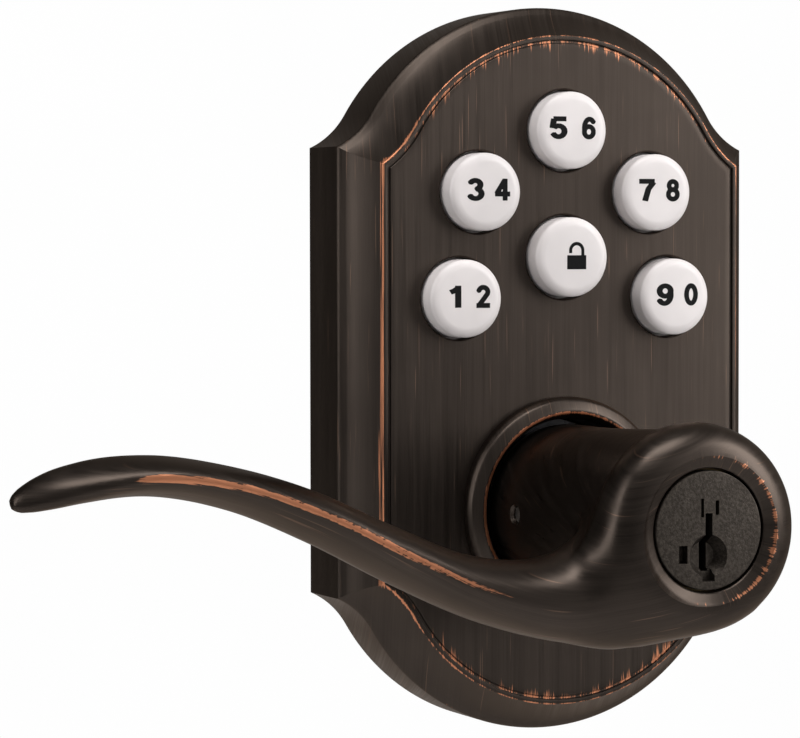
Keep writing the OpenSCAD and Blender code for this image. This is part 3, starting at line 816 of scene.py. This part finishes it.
# Radius and depth along the outside of neck and head.
HEAD_PROFILE = [
    (0, NECK_BACK), (NECK_R, NECK_BACK), (NECK_R, HUB_FRONT - 3), (NECK_R + 0.4, HUB_FRONT + 9),
    (NECK_R + 1.0, KEY_FACE - 10.5), (HEAD_R - 0.4, KEY_FACE - 7), (HEAD_R, KEY_FACE - 5),
    (HEAD_R - 0.2, KEY_FACE - 2.8), (HEAD_R - 1.1, KEY_FACE - 0.9), (HEAD_R - 2.7, KEY_FACE + 0.4),
    (FRONT_BORE + 1.9, RIM), (0, RIM),
]


def head_field(p, pitch=0.25):
    """Signed distance to neck and head, read from a table of their section. Behind the head's left
    side the neck is slim, which leaves a crease."""
    outline_points = np.array(rounded(HEAD_PROFILE, 3.0, 6))
    r_axis = np.arange(0, 22, pitch)
    z_axis = np.arange(NECK_BACK - 4, RIM + 6, pitch)
    rr, zz = np.meshgrid(r_axis, z_axis, indexing="ij")
    q = np.stack([rr, zz], axis=-1)
    best = np.full(rr.shape, 1e9)
    inside = np.zeros(rr.shape, bool)
    for a, b in zip(outline_points[:-1], outline_points[1:]):
        ab = b - a
        t = np.clip(((q - a) @ ab) / max(ab @ ab, 1e-9), 0, 1)
        best = np.minimum(best, np.linalg.norm(q - (a + t[..., None] * ab), axis=-1))
        crosses = (a[1] > zz) != (b[1] > zz)
        with np.errstate(divide="ignore", invalid="ignore"):
            where = a[0] + (zz - a[1]) * (b[0] - a[0]) / (b[1] - a[1])
        inside ^= crosses & (rr < where)
    table = np.where(inside, -best, best)
    radius = np.interp(p[:, 2], outline_points[1:-1, 1], outline_points[1:-1, 0])
    behind = np.clip((KEY_FACE - 6.5 - p[:, 2]) / 1.8, 0, 1)
    angle = np.degrees(np.arctan2(p[:, 1], p[:, 0])) % 360
    slim = 1 - np.clip(np.abs(angle - 150) / 60, 0, 1) ** 3
    undercut = np.clip(radius - NECK_R, 0, None) * behind * slim
    r = np.clip((np.hypot(p[:, 0], p[:, 1]) + undercut) / pitch, 0, len(r_axis) - 1.001)
    z = np.clip((p[:, 2] - z_axis[0]) / pitch, 0, len(z_axis) - 1.001)
    i, k = r.astype(int), z.astype(int)
    fr, fz = r - i, z - k
    low = table[i, k] * (1 - fr) + table[i + 1, k] * fr
    high = table[i, k + 1] * (1 - fr) + table[i + 1, k + 1] * fr
    return low * (1 - fz) + high * fz


def lever_field(p):
    """Head and arm melted together, softly in front and with a crease behind."""
    a, b = head_field(p), arm_field(p)
    blend = 2.5 + 3.5 * np.clip((p[:, 2] - KEY_FACE + 11) / 5, 0, 1)
    h = np.clip(0.5 + 0.5 * (b - a) / blend, 0, 1)
    return b * (1 - h) + a * h - blend * h * (1 - h)


def surface_net(field, low, high, step):
    """Quads round the zero surface of a field: one point in each cell that the surface crosses."""
    axes = [np.arange(a, b + step, step) for a, b in zip(low, high)]
    grid = np.stack(np.meshgrid(*axes, indexing="ij"), axis=-1)
    shape = grid.shape[:3]
    values = field(grid.reshape(-1, 3)).reshape(shape)
    inside = values < 0
    total = np.zeros((shape[0] - 1, shape[1] - 1, shape[2] - 1, 3))
    count = np.zeros(total.shape[:3])
    corners = [(i, j, k) for i in (0, 1) for j in (0, 1) for k in (0, 1)]

    def part(array, corner):
        return array[tuple(slice(c, c + n - 1) for c, n in zip(corner, shape))]

    for a in corners:
        for axis in range(3):
            if a[axis]:
                continue
            b = tuple(1 if n == axis else a[n] for n in range(3))
            va, vb = part(values, a), part(values, b)
            cross = (va < 0) != (vb < 0)
            t = np.where(cross, va / np.where(cross, va - vb, 1), 0)
            point = part(grid, a) * (1 - t[..., None]) + part(grid, b) * t[..., None]
            total += point * cross[..., None]
            count += cross
    used = count > 0
    index = np.full(used.shape, -1)
    index[used] = np.arange(used.sum())
    points = total[used] / count[used][:, None]
    quads = []
    for axis in range(3):
        u, v = [n for n in range(3) if n != axis]
        first = [slice(None)] * 3
        second = [slice(None)] * 3
        first[axis], second[axis] = slice(0, -1), slice(1, None)
        change = inside[tuple(first)] != inside[tuple(second)]
        where = np.argwhere(change)
        where = where[np.all(where[:, [u, v]] > 0, axis=1)]
        where = where[(where[:, u] < used.shape[u]) & (where[:, v] < used.shape[v])]
        cells = []
        for du, dv in ((1, 1), (0, 1), (0, 0), (1, 0)):
            cell = where.copy()
            cell[:, u] -= du
            cell[:, v] -= dv
            cells.append(index[tuple(cell.T)])
        quads.append(np.stack(cells, axis=1))
    return points, np.concatenate(quads)


def settle(points, field, rounds=4, probe=0.05):
    """Moves points along the field's slope onto its zero surface."""
    for _ in range(rounds):
        value = field(points)
        slope = np.stack([
            (field(points + probe * np.eye(3)[n]) - field(points - probe * np.eye(3)[n])) / (2 * probe)
            for n in range(3)
        ], axis=1)
        size = np.maximum((slope**2).sum(axis=1), 0.05)
        move = slope * (value / size)[:, None]
        points = points - np.clip(move, -0.3, 0.3)
    return points


def lever_handle():
    low = (-LEVER_LENGTH - 1.5, -19.5, NECK_BACK - 1.5)
    high = (HEAD_R + 3, HEAD_R + 3, RIM + 1.5)
    points, quads = surface_net(lever_field, low, high, NET_STEP)
    points = settle(points, lever_field)
    obj = mesh_object("wave_lever", points, quads)
    outward_normals(obj)
    mouth = rounded([
        (0, HUB_FRONT - 0.5), (FRONT_BORE, HUB_FRONT - 0.5), (FRONT_BORE, RIM - 0.95),
        (FRONT_BORE + 1.7, RIM - 0.2), (FRONT_BORE + 3.2, RIM + 1.0), (0, RIM + 2)], 0.4, 6)
    hub_r = 10.05
    neck = [(0, NECK_BACK - 2), (hub_r, NECK_BACK - 2), (hub_r, HUB_FRONT + 0.3), (0, HUB_FRONT + 0.3)]
    cut(obj, [lathe("mouth", mouth), lathe("neck_bore", neck), catch_hole()])
    p = sketch_points(obj)
    dress_lever(obj, p)
    return finish_piece(obj, lever_bronze, "lever", "bronze_lever", "lever_handle", angle=38)


def catch_hole():
    """Round hole through the neck's left wall, with a small chamfer."""
    r = 1.3
    obj = lathe("catch_hole", [
        (0, 7), (r, 7), (r, NECK_R - 0.45), (r + 0.5, NECK_R + 0.1), (r + 0.5, NECK_R + 1),
        (0, NECK_R + 1)], sides=48)
    p = sketch_points(obj)
    turned = put(np.stack([-p[:, 2], p[:, 1], CATCH_DEPTH + p[:, 0]], axis=1))
    obj.data.vertices.foreach_set("co", turned.ravel())
    outward_normals(obj)
    return obj


def dress_lever(obj, p):
    """Brush marks run along the arm; the ridge and the head's rim are worn."""
    x, y, z = p.T
    rise, behind, half_h, half_d, _, drop = arm_at(x)
    r = np.hypot(x, y)
    share = -x / LEVER_LENGTH
    brush = np.stack([y - rise + 0.4 * z, 1.0 * x, 0.3 * z], axis=1)
    on_rim = (r < FRONT_BORE + 2.8) & (z > RIM - 2.2) & (x > -3)
    around = np.stack([FRONT_BORE * np.arctan2(y, x), r, 0 * r], axis=1)
    set_vector(obj, "brush", np.where(on_rim[:, None], around, brush) * MM)
    forward = (z - (KEY_FACE - behind)) / half_d
    ridge_y = rise - drop * half_h
    ridge = np.clip(1.5 * near(y, ridge_y, 0.85), 0, 1) * (forward > 0.7) * (x < -22)
    along = np.clip((share - 0.20) / 0.28, 0, 1) * np.clip((0.85 - share) / 0.04, 0, 1)
    rim = near(r, FRONT_BORE + 1.7, 0.9) * (z > RIM - 2.2)
    right = np.clip(0.62 + 0.45 * np.cos(np.arctan2(y + 0.3 * r, x)), 0, 1)
    set_value(obj, "worn", np.clip(0.95 * ridge * along + 0.62 * rim * right, 0, 1))


# ---------------------------------------------------------------- key plug

def key_plug():
    """Plug with its face: the keyway in a round recess, two ears and the reset slot."""
    back = depth_range("key_plug")[0]
    profile = rounded([
        (0, KEY_FACE), (KEY_R, KEY_FACE), (KEY_R, KEY_FACE - 1.9), (PLUG_R, KEY_FACE - 1.9),
        (PLUG_R, back + 2.4), (PLUG_R - 0.8, back + 2.4), (PLUG_R - 0.8, back + 1.2),
        (PLUG_R, back + 1.2), (PLUG_R, back), (0, back)], 0.25, 5)
    obj = lathe("key_face", profile, sides=128)
    front = KEY_FACE + 1
    cutters = [
        block("slot", (-0.55, -6.0, KEY_FACE - 24), (0.6, 2.5, front)),
        block("slot_foot", (-1.05, -7.4, KEY_FACE - 1.5), (1.0, -3.0, front)),
        lathe("recess", [
            (0, KEY_FACE - 2.0), (1.9, KEY_FACE - 2.0), (3.1, KEY_FACE), (3.7, front), (0, front)],
            (-0.05, -3.7), 64),
        block("ear_left", (-1.3, 1.9, KEY_FACE - 0.7), (-0.8, 4.6, front)),
        block("ear_right", (1.1, 2.2, KEY_FACE - 0.9), (1.7, 4.3, front)),
        block("reset", (-4.9, -4.7, KEY_FACE - 1.5), (-3.5, -2.1, front)),
    ]
    cut(obj, cutters)
    return finish_piece(obj, key_face, "key_cylinder", "key_face", "key_plug")


# ---------------------------------------------------------------- pieces that flatten

def dome(name):
    """Silicone dome that sinks under its button."""
    low, top = depth_range("dome_" + name)
    centre = middle("dome_" + name)
    profile = rounded([
        (0, low + 0.6), (1.3, low + 0.6), (1.3, top - 0.9), (1.9, top - 0.9), (3.2, low + 0.5), (3.2, low),
        (4.4, low), (4.4, low + 0.7), (3.7, low + 0.9), (2.5, top - 0.2), (2.2, top), (0, top)], 0.15, 4)
    obj = lathe("silicone_dome_" + name, profile, centre, 64)
    finish_piece(obj, silicone, "housing", "silicone", "dome_" + name)
    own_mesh(obj)


def catch_spring():
    """Open ring of flat wire behind the catch, which gives as the catch goes in."""
    low, high = depth_range("catch_spring")
    r = width_of("catch_spring") / 2
    x = middle("catch_spring")[0]
    wire = 0.35
    gap_start = math.acos(-2 / r)
    angles = np.linspace(gap_start, 2 * math.pi, 72)
    section = ((r - wire, low), (r, low), (r, high), (r - wire, high))
    points = [(x + q * math.cos(a), q * math.sin(a), z) for a in angles for q, z in section]
    last = 4 * (len(angles) - 1)
    faces = strip_faces(len(angles), 4) + [(0, 1, 2, 3), (last + 3, last + 2, last + 1, last)]
    obj = mesh_object("catch_ring_spring", points, faces)
    outward_normals(obj)
    finish_piece(obj, spring_steel, "lever", "spring_steel", "catch_spring")
    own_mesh(obj)


# ---------------------------------------------------------------- carried-over CAD pieces

FINISHES = {
    "gasket": foam, "backplate": zinc, "backplate_screws": screw_steel, "mounting_posts": screw_steel,
    "bearing_sleeve": brass, "spring_cage": spring_steel, "return_spring": spring_steel,
    "cable_grommet": rubber,
    "button_guide": black_plastic, "circuit_board": board, "board_screws": screw_steel,
    "controller_chip": black_plastic, "buzzer": black_plastic, "board_connector": ivory_plastic,
    "drive_hub": hub_steel, "hub_clip": spring_steel, "spring_driver": spring_steel, "spindle": hub_steel,
    # the cylinder shell takes the brass darkened to a painted shade for the gap round the key face
    "cylinder_shell": brass_painted_shade, "lever_catch": hub_steel,
    "key_pins": brass, "sidebar": brass, "plug_clip": spring_steel, "tailpiece": hub_steel,
}


def finish_cad_pieces():
    """Materials of the pieces that stay as the CAD made them."""
    for name, material in FINISHES.items():
        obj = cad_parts[name]
        if not obj.material_slots:
            obj.data.materials.append(material)
        for slot in obj.material_slots:
            slot.material = material


# ---------------------------------------------------------------- studio

BACKDROP_R = 3000
FLOOR_HALF = 1200
FLOOR_Y = -260


def studio():
    """White backdrop and pale floor. The room round them is brighter in front and to the right."""
    world = bpy.data.worlds.new("room")
    bpy.context.scene.world = world
    world.use_nodes = True
    tree = world.node_tree
    background = tree.nodes["Background"]
    coords = tree.nodes.new("ShaderNodeTexCoord").outputs["Generated"]
    split = tree.nodes.new("ShaderNodeSeparateXYZ")
    link(tree, coords, split.inputs["Vector"])
    right = remap(tree, split.outputs["X"], -0.5, 0.6, 0.20, 0.62)
    front = remap(tree, split.outputs["Y"], 0.6, -0.7, 0.35, 1.0)
    link(tree, math_node(tree, "MULTIPLY", right, front), background.inputs["Color"])
    background.inputs["Strength"].default_value = 1.0

    backdrop = mesh_object("backdrop", *ball(BACKDROP_R, 48, 24))
    material, tree, shader = node_material("backdrop_white")
    grain = noise(tree, object_coords(tree), (3, 3, 3), 3.0)
    white = mix_colour(tree, grain, (1.0, 1.0, 1.0), (0.985, 0.985, 0.985))
    shader.inputs["Base Color"].default_value = (0, 0, 0, 1)
    shader.inputs["Roughness"].default_value = 1.0
    shader.inputs["Specular IOR Level"].default_value = 0.0
    link(tree, white, shader.inputs["Emission Color"])
    shader.inputs["Emission Strength"].default_value = 1.0
    backdrop.data.materials.append(material)
    for visible in ("visible_diffuse", "visible_glossy", "visible_transmission", "visible_shadow"):
        setattr(backdrop, visible, False)

    corners = ((-1, 1), (1, 1), (1, -1), (-1, -1))
    points = [(FLOOR_HALF * x, FLOOR_Y, FLOOR_HALF * z) for x, z in corners]
    floor = mesh_object("floor", points, [(0, 1, 2, 3)])
    material, tree, shader = node_material("pale_floor")
    grain = noise(tree, object_coords(tree), (3, 3, 3), 3.0)
    link(tree, mix_colour(tree, grain, (0.93, 0.93, 0.93), (0.96, 0.96, 0.96)), shader.inputs["Base Color"])
    shader.inputs["Roughness"].default_value = 0.9
    floor.data.materials.append(material)


def ball(radius, sides, rings):
    """Points and faces of a sphere."""
    points = [
        (radius * math.sin(v) * math.cos(u), radius * math.cos(v), radius * math.sin(v) * math.sin(u))
        for v in np.linspace(0.001, math.pi - 0.001, rings)
        for u in np.linspace(0, 2 * math.pi, sides, endpoint=False)
    ]
    return points, strip_faces(rings, sides)


def softbox(name, place, target, size, power):
    """Rectangular lamp that faces its target, in metres and watts."""
    lamp = bpy.data.lights.new(name, "AREA")
    lamp.shape = "RECTANGLE"
    lamp.size, lamp.size_y = size
    lamp.energy = power
    obj = bpy.data.objects.new(name, lamp)
    obj.location = place
    obj.rotation_euler = (Vector(target) - Vector(place)).to_track_quat("-Z", "Y").to_euler()
    bpy.context.scene.collection.objects.link(obj)


def camera():
    """Seen from the left and a little above, through a long lens."""
    azimuth, elevation, roll = math.radians(24.07), math.radians(2.26), math.radians(-0.09)
    distance = 0.5485
    aim = Vector((-20.0, 0, 21.4)) * MM
    toward_camera = Vector((
        -math.sin(azimuth) * math.cos(elevation),
        -math.cos(azimuth) * math.cos(elevation),
        math.sin(elevation),
    ))
    data = bpy.data.cameras.new("camera")
    data.sensor_width = 36
    data.lens = 155.4
    data.dof.use_dof = False
    obj = bpy.data.objects.new("camera", data)
    obj.location = aim + toward_camera * distance
    obj.rotation_euler = (-toward_camera).to_track_quat("-Z", "Y").to_euler()
    obj.rotation_euler.rotate_axis("Z", roll)
    bpy.context.scene.collection.objects.link(obj)
    bpy.context.scene.camera = obj


camera()
studio()
softbox("key", (0.27, -0.25, 0.15), (0.05, 0, 0.05), (0.16, 0.3), 0.95)
softbox("top", (-0.15, -0.25, 0.8), (0, 0, 0.02), (0.6, 0.3), 4.0)
softbox("left", (-0.60, -0.05, 0.22), (0, -0.02, 0.03), (0.15, 0.5), 1.15)
softbox("table", (-0.1, -0.35, -0.36), (-0.03, -0.05, 0), (0.6, 0.3), 3.0)
bpy.context.scene.view_settings.view_transform = "Standard"

escutcheon()
lever_collar()
for button_name in BUTTONS:
    button(button_name)
    dome(button_name)
catch_spring()
lever_handle()
key_plug()
finish_cad_pieces()
